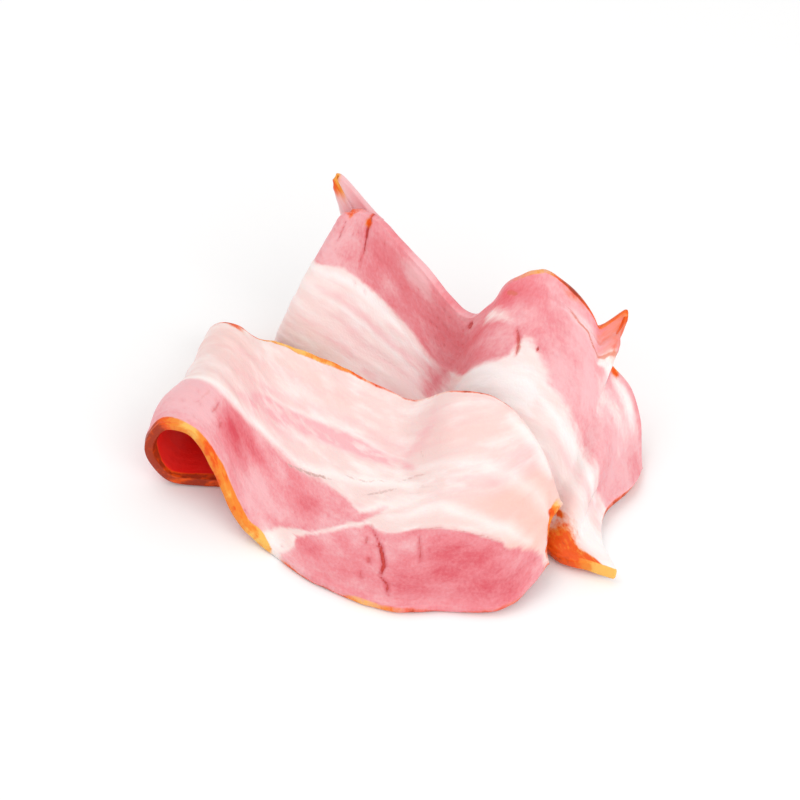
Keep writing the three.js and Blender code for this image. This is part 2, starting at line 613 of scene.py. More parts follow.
@dataclass
class Rasher:
    """One rasher: its folded shape, its markings and the piece that shows it.

    steps are the net's cells along and across, rings the rounding of its edges, relief the height of
    its ridges in mm, and waver how far its long edges stray, in mm. upper holds every marking's
    values, and under those that are other ones on the lower face.
    """

    name: str
    node: str
    stations: Sequence[Station]
    pulls: Sequence[Pull]
    marbling: Marbling
    cuts: Cuts
    smoke: Smoke
    seed: int
    steps: tuple[int, int] = (344, 128)
    rings: int = 4
    relief: float = 0.22
    waver: float = 0.30
    hem: Callable[[Sheet], np.ndarray] | None = None
    upper: dict[str, np.ndarray] = field(init=False)
    under: dict[str, np.ndarray] = field(init=False)

    def middle(self, along: np.ndarray, across: np.ndarray, pulled: bool = True) -> np.ndarray:
        """Finds the middle surface.

        Args:
            along: Places along the rasher, 0 to 1, one per row.
            across: Places across the rasher, 0 to 1, one per column.
            pulled: Whether the pulls act on it.

        Returns:
            A rows by columns by 3 array of points in mm.
        """
        lean = rail([one.lean for one in self.stations], along)[:, None]
        skin = rail([one.skin for one in self.stations], along)[:, None]
        bulge = rail([one.bulge for one in self.stations], along)[:, None]
        share = across[None, :, None]
        point = lean * (1 - share) + skin * share + 4 * share * (1 - share) * bulge
        for pull in self.pulls if pulled else ():
            point = point + self.strength(pull, along, across)[..., None] * np.array(pull.by)
        point[..., 2] = np.maximum(point[..., 2], LYING)
        return point

    @staticmethod
    def strength(pull: Pull, along: np.ndarray, across: np.ndarray) -> np.ndarray:
        """Returns how strongly a pull acts at each row and column.

        Args:
            pull: The pull.
            along: Places along the rasher, 0 to 1, one per row.
            across: Places across the rasher, 0 to 1, one per column.

        Returns:
            Its strength, 0 to 1, rows by columns.
        """
        run = (np.abs(along - pull.at[0]) / pull.spread[0])[:, None]
        rise = ((across - pull.at[1]) / pull.spread[1])[None, :]
        return np.exp(-(run**pull.squareness) - rise**2)

    def net(self) -> Sheet:
        """Lays out the net of places, its edge rings included.

        Returns:
            The sheet, with the flat place of every net point.
        """
        rows, columns = self.steps
        along = np.linspace(0, 1, rows + 1)
        share = np.linspace(0, 1, columns + 1)
        across = share - EDGE_CROWDING * np.sin(2 * np.pi * share)
        last = len(self.stations) - 1
        middle = self.middle(along, np.linspace(0, 1, MEASURED_COLUMNS + 1), pulled=False)
        spine = middle[:, MEASURED_COLUMNS // 2]
        spans = np.linalg.norm(np.diff(spine, axis=0), axis=1)
        length = np.concatenate([[0], np.cumsum(spans)])
        width = np.linalg.norm(np.diff(middle, axis=1), axis=2).sum(axis=1)
        ends = np.ones(self.rings)
        along = np.concatenate([0 * ends, along, ends])
        across = np.concatenate([0 * ends, across, ends])
        numbers = np.linspace(0, last, rows + 1)
        flat_x = lambda number: float(np.interp(number, numbers, length))
        flat_width = lambda number: float(np.interp(number, numbers, width))
        station, cross = np.meshgrid(along * last, across, indexing="ij")
        wide = np.interp(station, numbers, width)
        step = np.arange(1, self.rings + 1) / self.rings
        ring = [np.concatenate([step[::-1], np.zeros(count + 1), step]) for count in self.steps]
        return Sheet(
            station=station,
            across=cross,
            x=np.interp(station, numbers, length),
            y=cross * wide,
            width=wide,
            length=float(length[-1]),
            flat_x=flat_x,
            flat_width=flat_width,
            seed=self.seed,
            rings=tuple(np.meshgrid(*ring, indexing="ij")),
        )

    def mark(self, sheet: Sheet) -> None:
        """Works out every marking at every net point and keeps them, by their names.

        Args:
            sheet: The rasher's net.
        """
        self.under = self.smoke.values(sheet, Face.LOWER, self.seed)
        self.upper = self.marbling.values(sheet) | self.cuts.values(sheet, self.seed)
        self.upper |= self.smoke.values(sheet, Face.UPPER, self.seed)

    def height(self, sheet: Sheet, face: Face) -> np.ndarray:
        """Works out how far a face stands off its smooth place.

        Args:
            sheet: The rasher's net.
            face: The face to work out.

        Returns:
            Heights in mm, outwards from the middle of the rasher.
        """
        seed = self.seed + (0 if face is Face.UPPER else LOWER_SEED)
        ridges, swell, fibres, pits = (kind.over(sheet, seed) for kind in (RIDGES, SWELL, FIBRES, PITS))
        fat = 1 - smooth_step(self.upper["lean_level"], -0.5, 0.5)
        lift = self.relief * (ridges * (0.5 + fat) + swell) + fibres + pits + FAT_STANDS * fat
        for mark, depth in zip(Mark, CUT_DEPTHS):
            groove = smooth_step(self.upper[mark.value], *CUT_SIDE)
            lift = lift - depth * groove * self.upper[mark.value + "_strength"]
        near = np.minimum.reduce([sheet.edge_gap(edge) for edge in Edge])
        return lift * smooth_step(near, 0, RELIEF_MARGIN)

    def half_thickness(self, sheet: Sheet, along: np.ndarray, across: np.ndarray) -> np.ndarray:
        """Returns the distance from the middle surface to either face, in mm.

        Args:
            sheet: The rasher's net.
            along: Places along the rasher, 0 to 1, one per row.
            across: Places across the rasher, 0 to 1, one per column.

        Returns:
            Half the thickness at every net point.
        """
        near = np.minimum(sheet.edge_gap(Edge.LEAN), sheet.edge_gap(Edge.SKIN))
        half = THICKNESS / 2 * (1 - EDGE_THINNING * (1 - smooth_step(near, 0, EDGE_TAPER)))
        for pull in self.pulls:
            half = half * (1 - pull.thinning * self.strength(pull, along, across))
        return half

    def shell(self, sheet: Sheet) -> dict[Face, np.ndarray]:
        """Shapes both faces, with their rounded edges.

        Args:
            sheet: The rasher's net.

        Returns:
            The points of each face, in mm. The outermost ring is the same on both.
        """
        along = sheet.station[:, 0] / (len(self.stations) - 1)
        across = sheet.across[0]
        middle = self.middle(along, across)
        low, high = np.clip(along - SLOPE_REACH, 0, 1), np.clip(along + SLOPE_REACH, 0, 1)
        slope_along = self.middle(high, across) - self.middle(low, across)
        low, high = np.clip(across - SLOPE_REACH, 0, 1), np.clip(across + SLOPE_REACH, 0, 1)
        slope_across = self.middle(along, high) - self.middle(along, low)
        normal = np.cross(slope_along, slope_across)
        normal /= np.linalg.norm(normal, axis=-1, keepdims=True)
        out_across = slope_across / np.linalg.norm(slope_across, axis=-1, keepdims=True)
        out_along = np.cross(out_across, normal)

        waver = self.waver * LONG_WAVER.over(sheet, self.seed) + SHORT_WAVER.over(sheet, self.seed)
        skin, lean = (np.exp(-sheet.edge_gap(edge) / WAVER_FADE) for edge in (Edge.SKIN, Edge.LEAN))
        hold = skin - lean
        middle = middle + out_across * (waver * hold)[..., None]
        if self.hem is not None:
            middle = middle + normal * self.hem(sheet)[..., None]

        turn = np.pi / 2 * np.arange(1, self.rings + 1) / self.rings
        out, down = RIM_BULGE * np.sin(turn) ** RIM_OUT_POWER, np.cos(turn) ** RIM_DOWN_POWER
        down[-1] = 0
        push, fade = [], []
        for count in (len(along), len(across)):
            shift, keep = np.zeros(count), np.ones(count)
            shift[: self.rings], keep[: self.rings] = -out[::-1], down[::-1]
            shift[-self.rings :], keep[-self.rings :] = out, down
            push.append(shift)
            fade.append(keep)
        base = middle + out_along * push[0][:, None, None] + out_across * push[1][None, :, None]
        rounding = np.minimum(fade[0][:, None], fade[1][None, :])
        half = self.half_thickness(sheet, along, across)
        faces = {}
        for face in Face:
            lift = (half + self.height(sheet, face)) * rounding
            faces[face] = base + normal * (face.value * lift)[..., None]
            faces[face][..., 2] = np.maximum(faces[face][..., 2], TABLE_CLEARANCE)
        return faces

    def build(self, offset: Triple) -> bpy.types.Object:
        """Builds the rasher's closed mesh with its markings as attributes.

        Args:
            offset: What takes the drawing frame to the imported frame, in mm.

        Returns:
            The new piece.
        """
        sheet = self.net()
        self.mark(sheet)
        faces = self.shell(sheet)
        rows, columns = sheet.x.shape
        upper = np.arange(rows * columns).reshape(rows, columns)
        lower = upper + rows * columns
        lower[[0, -1], :], lower[:, [0, -1]] = upper[[0, -1], :], upper[:, [0, -1]]
        points = np.concatenate([faces[face].reshape(-1, 3) for face in Face])
        points = (points + np.array(offset)) * MM
        around = lambda net: [net[:-1, :-1], net[1:, :-1], net[1:, 1:], net[:-1, 1:]]
        corners = (around(upper), around(lower)[::-1])
        quads = np.concatenate([np.stack(four, -1).reshape(-1, 4) for four in corners])
        used = np.unique(quads)
        number = np.full(len(points), -1)
        number[used] = np.arange(len(used))
        mesh = bpy.data.meshes.new(self.name)
        mesh.from_pydata(points[used].tolist(), [], number[quads].tolist())
        mesh.update()
        mesh.shade_smooth()

        down = THICKNESS / 2 * (1 - np.maximum(*sheet.rings)).ravel()
        depth = np.concatenate([face.value * down for face in Face])
        flat = np.stack([np.tile(sheet.x.ravel(), 2), np.tile(sheet.y.ravel(), 2), depth], -1)
        self.keep(mesh, "flat", flat[used] * MM)
        for name, values in self.upper.items():
            both = np.concatenate([values.ravel(), self.under.get(name, values).ravel()])
            self.keep(mesh, name, both[used])
        piece = bpy.data.objects.new(self.name, mesh)
        bpy.context.scene.collection.objects.link(piece)
        return piece

    @staticmethod
    def keep(mesh: bpy.types.Mesh, name: str, values: np.ndarray) -> None:
        """Stores one value or vector per point on the mesh.

        Args:
            mesh: The mesh to store them on.
            name: The name that the finish reads.
            values: One row per point.
        """
        kind, key = ("FLOAT_VECTOR", "vector") if values.ndim == 2 else ("FLOAT", "value")
        attribute = mesh.attributes.new(name, kind, "POINT")
        attribute.data.foreach_set(key, values.astype(np.float32).ravel())

    def place(self, offset: Triple, material: bpy.types.Material) -> None:
        """Builds, dresses and rides the rasher in place of its CAD node.

        Args:
            offset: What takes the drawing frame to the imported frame, in mm.
            material: The rasher's finish.
        """
        piece = self.build(offset)
        piece.data.materials.append(material)
        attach(piece, "root")
        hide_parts(self.node)
        LOG.info("%s: %d faces", piece.name, len(piece.data.polygons))


def front_marbling() -> Marbling:
    """Returns the lean, the fat and their tones on the front rasher."""
    return Marbling(
        lean_border=(
            (0, 0.42), (3, 0.38), (4.5, 0.37), (5.1, 0.367), (5.8, 0.40), (6.4, 0.42), (7.2, 0.455),
            (8.1, 0.455), (8.7, 0.46), (9.3, 0.42), (9.6, 0.365), (10.1, 0.38), (10.5, 0.40),
            (10.9, 0.39), (11.35, 0.367), (11.9, 0.312), (12.2, 0.265), (12.8, 0.225), (13.2, 0.165),
            (13.6, 0.06), (14, -0.03),
        ),
        border_soft=(
            (0, 1), (5, 1.2), (7, 2.2), (8.6, 2.2), (9.3, 1.4), (10, 0.9), (12, 1.0), (13, 2.2), (14, 2.4),
        ),
        seams=(
            # the fat corner on the lean edge, and the seam that splits the lean in two muscles
            Streak(((7.62, -0.02), (7.95, 0.02), (8.2, 0.07), (8.45, 0.12)), 2.3, 1.0, 1.0),
            Streak(((8.0, 0.05), (8.48, 0.157), (8.99, 0.256)), 0.75, 0.8, 0.9),
            Streak(((8.8, 0.22), (9.29, 0.325), (9.5, 0.37), (9.9, 0.45)), 0.7, 0.9, 0.8),
        ),
        muscles=(
            Streak(((9.15, 0.345), (9.45, 0.405), (9.85, 0.495)), 0.85, 0.75, 0.8),
        ),
        blush=(
            Streak(
                (
                    (6.0, 0.50), (7.0, 0.60), (7.7, 0.645), (8.3, 0.67), (9.0, 0.70), (9.8, 0.725),
                    (10.3, 0.70),
                ),
                2.0, 1.0, 1.2,
            ),
            Streak(((5.6, 0.62), (7.0, 0.70), (8.2, 0.77), (9.2, 0.80), (10.2, 0.80)), 0.8, 0.38, 1.3),
            Streak(((5.2, 0.45), (6.2, 0.50), (7.2, 0.545), (8.2, 0.57)), 0.6, 0.4, 1.0),
            Streak(((9.9, 0.74), (10.3, 0.80), (10.55, 0.93)), 1.4, 0.4, 2.0),
            Streak(((4.4, 0.72), (5.5, 0.78), (7, 0.84), (8.8, 0.88)), 1.0, 0.3, 1.6),
            Streak(((11.0, 0.62), (11.8, 0.60), (12.6, 0.53)), 0.7, 0.4, 1.2),
        ),
        blush_patches=(
            Blotch((12.6, 0.74), (7, 7), 0.42),
            Blotch((6.5, 0.64), (14, 8), 0.34),
            Blotch((10.6, 0.86), (9, 4), 0.25),
        ),
        bright=(
            Streak(
                (
                    (10.3, 0.70), (11.0, 0.70), (11.51, 0.696), (12.15, 0.66), (12.9, 0.625),
                    (13.7, 0.56),
                ),
                0.8, 0.65, 1.5,
            ),
            Streak(
                ((9.9, 0.45), (10.84, 0.50), (11.58, 0.425), (12.2, 0.36), (12.82, 0.27)),
                1.0, 0.85, 1.4,
            ),
            Streak(((7.6, 0.475), (8.2, 0.475), (8.8, 0.53), (9.5, 0.58), (10.3, 0.63)), 0.9, 0.8, 0.9),
            Streak(
                ((3.6, 0.375), (4.7, 0.38), (5.4, 0.385), (6.2, 0.425), (7.0, 0.47), (7.8, 0.48)),
                0.9, 1.0, 0.9,
            ),
            Streak(((9.4, 0.43), (10.0, 0.52), (10.6, 0.56)), 1.2, 0.7, 1.2),
            # painted highlight: a soft white line along the skin edge of the right end
            Streak(((12.1, 0.97), (12.8, 0.96), (13.5, 0.96)), 1.0, 0.9, 1.0),
            Streak(((7.0, 0.66), (8.0, 0.715), (9.0, 0.75), (10, 0.745)), 0.45, 0.6, 0.6),
        ),
        bright_patches=(Blotch((8.0, 0.04), (3.4, 1.8), 1.0),),
        red=(
            Blotch((6.2, 0.27), (4.0, 5.0), 1.35),
            Blotch((6.9, 0.33), (4.2, 2.8), 1.0),
            Blotch((8.5, 0.32), (3.4, 2.6), 1.4),
            Blotch((8.75, 0.12), (3.6, 2.6), 0.55),
            Blotch((11.15, 0.25), (6.5, 4.2), 1.2),
            Blotch((12.2, 0.12), (7.0, 4.0), 0.55),
            Blotch((10.3, 0.12), (6.0, 3.4), 0.55),
            Blotch((9.3, 0.18), (4.0, 4.0), 0.35),
            Blotch((4.7, 0.24), (5.0, 7.0), -1.2),
            Blotch((7.4, 0.2), (5.5, 7.0), -0.8),
            Blotch((8.9, 0.3), (4.0, 3.4), -0.55),
            Blotch((11.4, 0.1), (17.0, 8.0), 0.55),
            Blotch((10.1, 0.33), (2.6, 1.4), -0.55),
            Blotch((12.6, 0.2), (2.6, 1.6), -0.35),
            Blotch((13.4, 0.05), (2.2, 3.4), -0.2),
        ),
        salmon=(
            Blotch((12.9, 0.40), (6.5, 8), 1.5),
            Blotch((12.08, 0.52), (8, 4.0), 0.9),
            Blotch((11.4, 0.85), (12, 4), 0.35),
            Blotch((4.8, 0.8), (9, 9), 0.4),
            Blotch((8.2, 0.9), (14, 3), 0.25),
        ),
    )


def front_cuts() -> Cuts:
    """Returns the cracks, tears and creases in the front rasher."""
    return Cuts(
        cracks=(
            Streak(((9.60, 0.375), (9.70, 0.32), (9.79, 0.285)), 0.16, 0.75),
            Streak(((9.72, 0.31), (9.79, 0.285), (9.86, 0.205), (9.83, 0.14)), 0.36, 1.0),
            Streak(((9.83, 0.16), (9.83, 0.143), (9.96, 0.106), (10.03, 0.035)), 0.2, 0.85),
            Streak(((10.43, 0.367), (10.45, 0.30), (10.47, 0.238)), 0.17, 0.6),
            Streak(((10.25, 0.375), (10.5, 0.402), (10.84, 0.395), (11.0, 0.385)), 0.13, 0.3),
            Streak(
                ((11.05, 0.385), (11.34, 0.367), (11.58, 0.345), (11.91, 0.314), (12.15, 0.26)),
                0.14, 0.32,
            ),
            Streak(((9.55, 0.31), (9.57, 0.27)), 0.28, 0.4),
            Streak(((9.62, 0.215), (9.64, 0.185)), 0.30, 0.5),
            Streak(((9.56, 0.13), (9.58, 0.09)), 0.26, 0.5),
            Streak(((5.35, 0.20), (5.45, 0.25), (5.5, 0.31)), 0.20, 0.35),
            Streak(((5.75, 0.16), (5.8, 0.22)), 0.20, 0.3),
        ),
        tears=(
            Streak(((7.88, 0.43), (8.1, 0.445), (8.31, 0.455)), 0.26, 0.9),
            Streak(((8.25, 0.463), (8.5, 0.478), (8.85, 0.51)), 0.30, 1.0),
            Streak(((9.3, 0.50), (9.6, 0.535), (9.95, 0.59)), 0.28, 0.6),
            Streak(((8.9, 0.55), (9.3, 0.57), (9.7, 0.60)), 0.2, 0.5),
            Streak(((10.0, 0.63), (10.33, 0.665), (10.55, 0.67)), 0.22, 0.45),
            Streak(((10.35, 0.78), (10.45, 0.74)), 0.16, 0.4),
        ),
        creases=(
            Streak(((4.9, 0.22), (5.0, 0.28), (5.02, 0.33)), 0.22, 0.16),
        ),
        scattered=(
            Scatter(Mark.TEAR, (7.9, 10.6), (0.45, 0.64), 18, (1.0, 3.0), 0.12, 0.3),
            Scatter(Mark.CRACK, (5.4, 13.2), (0.03, 0.34), 26, (0.3, 1.1), 0.12, 0.3, True),
            Scatter(Mark.CRACK, (4.4, 6.4), (0.05, 0.34), 9, (0.5, 1.5), 0.12, 0.18, True),
        ),
    )


def front_smoke() -> Smoke:
    """Returns the smoked tint of the front rasher."""
    return Smoke(
        stains_and_shade=(
            Blotch((4.9, 0.985), (2.6, 1.4), 0.75),
            Blotch((13.8, 0.72), (1.0, 1.0), 0.7),
        ),
        rims=(
            Rim(
                Edge.LEAN,
                smoke=(
                    (0, 1), (7.7, 1), (7.95, 0.9), (8.1, 0.1), (8.3, 0.6), (9.3, 0.65), (9.7, 0.6),
                    (10.3, 0.55), (14, 0.6),
                ),
                char=(
                    (0, 0.9), (2, 1.3), (3, 1.6), (3.9, 1.3), (4.4, 0.5), (4.9, -0.5), (5.4, 0.0),
                    (6, 0.3), (6.6, 0.1), (7.2, -0.3), (7.8, -0.9), (8.4, 0.6), (9.3, 0.85),
                    (9.6, -0.7), (9.95, -0.5), (10.3, 0.5), (11.5, 0.75), (12.5, 0.6), (14, 0.7),
                ),
                reach=(
                    (0, 1.0), (2.5, 1.2), (3.6, 1.5), (4.4, 1.0), (5.4, 0.9), (6.2, 1.1), (7.2, 1.4),
                    (7.8, 0.9), (8.1, -0.6), (8.5, -1.15), (9.3, -1.1), (9.55, -0.5), (9.9, -0.6),
                    (10.3, -1.15), (11.5, -1.2), (14, -1.0),
                ),
            ),
            Rim(
                Edge.SKIN,
                smoke=(
                    (0, 0.5), (3, 0.2), (4, 0.4), (4.6, 0.8), (5.6, 0.55), (6.4, 0.75), (8.4, 0.8),
                    (9.2, 0.65), (10, 0.5), (10.5, 0.35), (11, 0.6), (12.1, 0.5), (12.5, 0.1), (14, 0),
                ),
                char=(
                    (0, 0), (4, 0.6), (5, 0.9), (6, 0.5), (6.8, -0.2), (7.5, -0.8), (8.3, -0.5),
                    (9, 0.3), (9.8, 0.8), (10.6, 0.3), (11, 0.8), (12, 0.8), (14, 0),
                ),
                reach=(
                    (0, 0.5), (4, 0.4), (5, 0.6), (6, 0.25), (6.8, 0.7), (7.5, 1.0), (8.3, 0.8),
                    (9, 0.4), (10, 0.2), (11, 0.1), (12, 0.0), (14, 0),
                ),
            ),
            Rim(
                Edge.LAST_END,
                smoke=((0, 0.4), (0.2, 0.8), (0.7, 1), (0.9, 0.8), (1, 0.4)),
                char=((0, 0.4), (0.4, 0.6), (0.8, 0.1), (1, -0.8)),
                reach=((0, 0.0), (0.25, 0.4), (0.5, 0.9), (0.8, 0.7), (1, 0.4)),
            ),
            Rim(
                Edge.FIRST_END,
                smoke=((0, 0.9), (1, 0.6)),
                char=((0, 0.3), (1, 0.2)),
                reach=((0, 1.0),),
            ),
        ),
        # painted shade: the lower face is painted scarlet where it lines the roll's hollow
        deep=((0, 1), (3.6, 1), (4.6, 0.75), (5.4, 0), (14, 0)),
    )


def front_rasher() -> Rasher:
    """Describes the front rasher, rolled under at its left end.

    Returns:
        The rasher, not yet built.
    """
    stations = (
        # the tucked end, then the roll: its underside, its side, its top
        Station((-33.5, -12.5, LYING), (-34, 22, LYING)),
        Station((-39, -12.5, LYING), (-37, 24, LYING)),
        Station((-46, -12, 2), (-39, 27, 2.5), (0.5, 0, 0)),
        Station((-49.5, -11, 8), (-39.5, 27.5, 6.5), (1, 0, 0)),
        Station((-46.5, -11, 14), (-37.5, 27.5, 9), (1, 0, 0.5)),
        # down from the roll along the lean edge, while the skin edge stays up
        Station((-40.5, -14.5, 15.3), (-34, 26, 9.5), (0.5, 0, 1.5)),
        Station((-36, -20, 11.5), (-30, 22.5, 9), (0, 0, 2)),
        Station((-31.5, -26.5, 5), (-25, 20.5, 9.5), (0, 0, 0.5)),
        Station((-25, -32, LYING), (-18, 16.5, 9.5), (0, 0, -1.5)),
        # the broad flat stretch, whose skin edge dips and then humps
        Station((-15, -41.5, LYING), (-8.5, 9.5, 10), (0, 0, -2.5)),
        Station((-3, -47.5, LYING), (2.5, 2.5, 9.5), (0, 0, -3)),
        Station((8.5, -48, LYING), (11.5, -1, 14.5), (0, 0, -3)),
        Station((19, -48, 1.6), (21, -4.5, 14), (0, 0, -1)),
        # the narrowing right end, over the rear rasher
        Station((25.5, -43, 3.2), (27.5, -13.5, 10), (0, 0, 1)),
        Station((28, -39, 4.5), (31, -25.5, 7), (-1.5, 0.5, 0)),
    )
    pulls = (
        Pull((0.25, 0.22), (0.09, 0.16), (-1.5, 0, 1.6)),
        Pull((0.8, 0.72), (0.07, 0.22), (0, -1, 1.2)),
        Pull((0.7, 0.8), (0.05, 0.2), (0, 0.5, -1)),
    )
    return Rasher(
        name="front_rasher_meat",
        node="front_rasher",
        stations=stations,
        pulls=pulls,
        marbling=front_marbling(),
        cuts=front_cuts(),
        smoke=front_smoke(),
        seed=5,
    )


def rear_hem(sheet: Sheet) -> np.ndarray:
    """Sets back the right fold's trimmed margin, which shows as a second edge behind the first.

    Args:
        sheet: The rear rasher's net.

    Returns:
        How far each net point moves outwards, in mm.
    """
    depth, begins, ends, margin = 0.9, (2.7, 3.2), (5.0, 6.2), (2.6, 3.2)
    reach = smooth_step(sheet.station, *begins) * (1 - smooth_step(sheet.station, *ends))
    return -depth * reach * (1 - smooth_step(sheet.y, *margin))


def rear_marbling() -> Marbling:
    """Returns the lean, the fat and their tones on the rear rasher."""
    return Marbling(
        lean_border=(
            (0, 0.42), (0.8, 0.425), (2, 0.455), (2.8, 0.466), (3.5, 0.46), (4.2, 0.43), (5.0, 0.345),
            (5.4, 0.29), (5.75, 0.27), (6.1, 0.345), (6.8, 0.40), (7.5, 0.45), (8.15, 0.46),
            (8.6, 0.43), (9.0, 0.43), (9.6, 0.47), (10.2, 0.44), (10.8, 0.39), (11.5, 0.335),
            (12.1, 0.29), (13.15, 0.29), (14, 0.33), (15, 0.36), (17, 0.36),
        ),
        border_soft=(
            (0, 2.2), (2, 3.0), (4.3, 3.2), (5.2, 2.8), (6, 1.8), (8, 1.6), (9.5, 2.0), (11, 1.4),
            (12.5, 1), (17, 1),
        ),
        seams=(
            Streak(((6.3, 0.20), (6.7, 0.16), (7.1, 0.12), (7.6, 0.07)), 0.7, 0.35, 0.9),
            Streak(((2.95, 0.10), (3.3, 0.12), (3.64, 0.143)), 1.0, 1.0, 0.7),
            Streak(((1.3, 0.045), (2.0, 0.05), (2.6, 0.05)), 1.0, 0.45, 1.6),
            Streak(((1.6, 0.14), (2.2, 0.17), (2.8, 0.19)), 0.9, 0.2, 1.6),
        ),
        muscles=(
            Streak(((9.15, 0.44), (9.5, 0.6), (9.8, 0.78)), 2.2, 0.6, 2.4),
        ),
        blush=(
            Streak(((1.2, 0.58), (2.41, 0.575), (3.73, 0.60), (4.3, 0.58)), 0.9, 0.4, 1.4),
            Streak(((2.2, 0.72), (3.4, 0.74), (4.6, 0.69)), 1.0, 0.3, 1.4),
            Streak(((10.0, 0.60), (10.8, 0.56), (11.8, 0.47), (12.6, 0.43), (13.6, 0.44)), 0.9, 0.45, 1.2),
            Streak(((10.2, 0.74), (11.0, 0.68), (12.2, 0.57), (13.4, 0.54)), 0.9, 0.35, 1.4),
            Streak(((10.4, 0.86), (11.5, 0.78), (12.6, 0.68), (13.8, 0.66)), 0.9, 0.4, 1.4),
            Streak(((10.2, 0.5), (11.0, 0.45), (11.8, 0.39)), 0.5, 0.5, 0.9),
            Streak(((0.2, 0.47), (0.8, 0.5), (1.5, 0.51)), 1.0, 0.35, 1.5),
        ),
        blush_patches=(
            Blotch((9.6, 0.55), (6, 9), 0.7),
            Blotch((1.0, 0.55), (6, 6), 0.15),
            Blotch((12.4, 0.6), (14, 8), 0.2),
        ),
        bright=(
            Streak(((4.9, 0.46), (5.86, 0.52), (6.6, 0.50), (7.4, 0.53), (8.2, 0.56)), 3.4, 1.2, 1.8),
            Streak(((0, 0.72), (0.6, 0.78), (1.3, 0.78)), 4.5, 1.0, 3.0),
            Streak(((11.0, 0.42), (11.6, 0.37), (12.3, 0.325), (13.3, 0.335), (14.3, 0.37)), 0.9, 1.0, 0.8),
            Streak(((10.6, 0.62), (11.4, 0.55), (12.4, 0.475), (13.6, 0.485)), 0.45, 0.6, 0.7),
            Streak(
                ((0.6, 0.48), (1.77, 0.51), (2.76, 0.52), (4.01, 0.52), (4.96, 0.47), (5.6, 0.42)),
                0.7, 0.9, 0.8,
            ),
            Streak(((9.9, 0.50), (10.5, 0.475), (11.0, 0.43)), 0.5, 0.6, 0.7),
        ),
        bright_patches=(
            Blotch((3.3, 0.125), (2.0, 1.0), 1.0),
            Blotch((1.9, 0.05), (5, 1.6), 0.6),
            Blotch((4.2, 0.06), (4.0, 1.0), 0.55),
            Blotch((16.0, 0.06), (4.0, 5.0), 0.6),
        ),
        red=(
            Blotch((7.9, 0.25), (3.4, 5.5), 0.6),
            Blotch((9.0, 0.25), (4.5, 7.5), 0.4),
            Blotch((9.7, 0.62), (3.2, 5.5), 0.35),
            Blotch((10.2, 0.2), (5.0, 5.5), 0.4),
            Blotch((12.0, 0.12), (5.0, 4.5), 0.5),
            Blotch((11.0, 0.2), (5.0, 4.5), 0.25),
            Blotch((6.85, 0.04), (2.6, 1.6), 0.6),
            Blotch((13.6, 0.16), (4.2, 6.5), -0.75),
            Blotch((10.9, 0.05), (3.0, 3.2), -1.3),
            Blotch((11.8, 0.2), (2.4, 2.0), -0.4),
            Blotch((12.2, 0.09), (2.6, 4.0), 0.35),
            Blotch((4.6, 0.2), (7.0, 9.0), -0.35),
            Blotch((3.4, 0.28), (9.0, 7.5), -0.5),
            Blotch((1.4, 0.22), (8.0, 7.5), -0.8),
            Blotch((4.4, 0.2), (3.0, 3.0), 0.45),
            Blotch((2.4, 0.3), (4.0, 2.4), 0.35),
            Blotch((6.1, 0.16), (3.4, 4.0), -0.25),
            Blotch((5.0, 0.12), (3.0, 2.0), 0.3),
            Blotch((6.2, 0.06), (5.0, 3.4), 0.9),
            Blotch((3.42, 0.02), (2.6, 5.0), 1.0),
        ),
        salmon=(Blotch((2.4, 0.78), (7, 4), 0.5),),
    )


def rear_cuts() -> Cuts:
    """Returns the cracks, tears and creases in the rear rasher."""
    return Cuts(
        cracks=(
            Streak(((6.04, 0.225), (5.98, 0.25), (5.86, 0.30), (5.88, 0.345)), 0.26, 0.6),
            Streak(((5.25, 0.285), (5.29, 0.287)), 0.62, 0.75),
            Streak(((8.60, 0.075), (8.76, 0.05), (8.86, 0.035)), 0.6, 0.6),
            Streak(((12.70, -0.02), (12.73, 0.04), (12.72, 0.095)), 0.34, 0.95),
            Streak(((12.73, 0.06), (12.70, 0.15), (12.70, 0.235)), 0.16, 0.8),
            Streak(((13.62, 0.06), (13.66, 0.10), (13.6, 0.14)), 0.24, 0.4),
            Streak(((14.3, 0.2), (14.35, 0.26)), 0.3, 0.5),
        ),
        tears=(
            Streak(((11.0, 0.66), (11.9, 0.60)), 0.14, 0.35),
        ),
        creases=(
            # the inner line of the right fold's trimmed margin
            Streak(
                (
                    (4.75, 0.05), (4.37, 0.071), (4.11, 0.075), (3.90, 0.105), (3.54, 0.122),
                    (3.1, 0.07), (2.8, 0.01),
                ),
                0.22, 0.7,
            ),
            Streak(((6.35, 0.06), (6.6, 0.035), (6.9, 0.015)), 0.35, 0.6),
            Streak(((6.0, 0.25), (5.82, 0.30), (5.84, 0.35)), 0.34, 0.45),
        ),
        scattered=(
            Scatter(Mark.CRACK, (8.2, 13.9), (0.04, 0.32), 60, (0.2, 0.8), 0.14, 0.34, True),
            Scatter(Mark.CRACK, (1.0, 8.0), (0.06, 0.40), 26, (0.2, 0.9), 0.12, 0.2, True),
        ),
    )


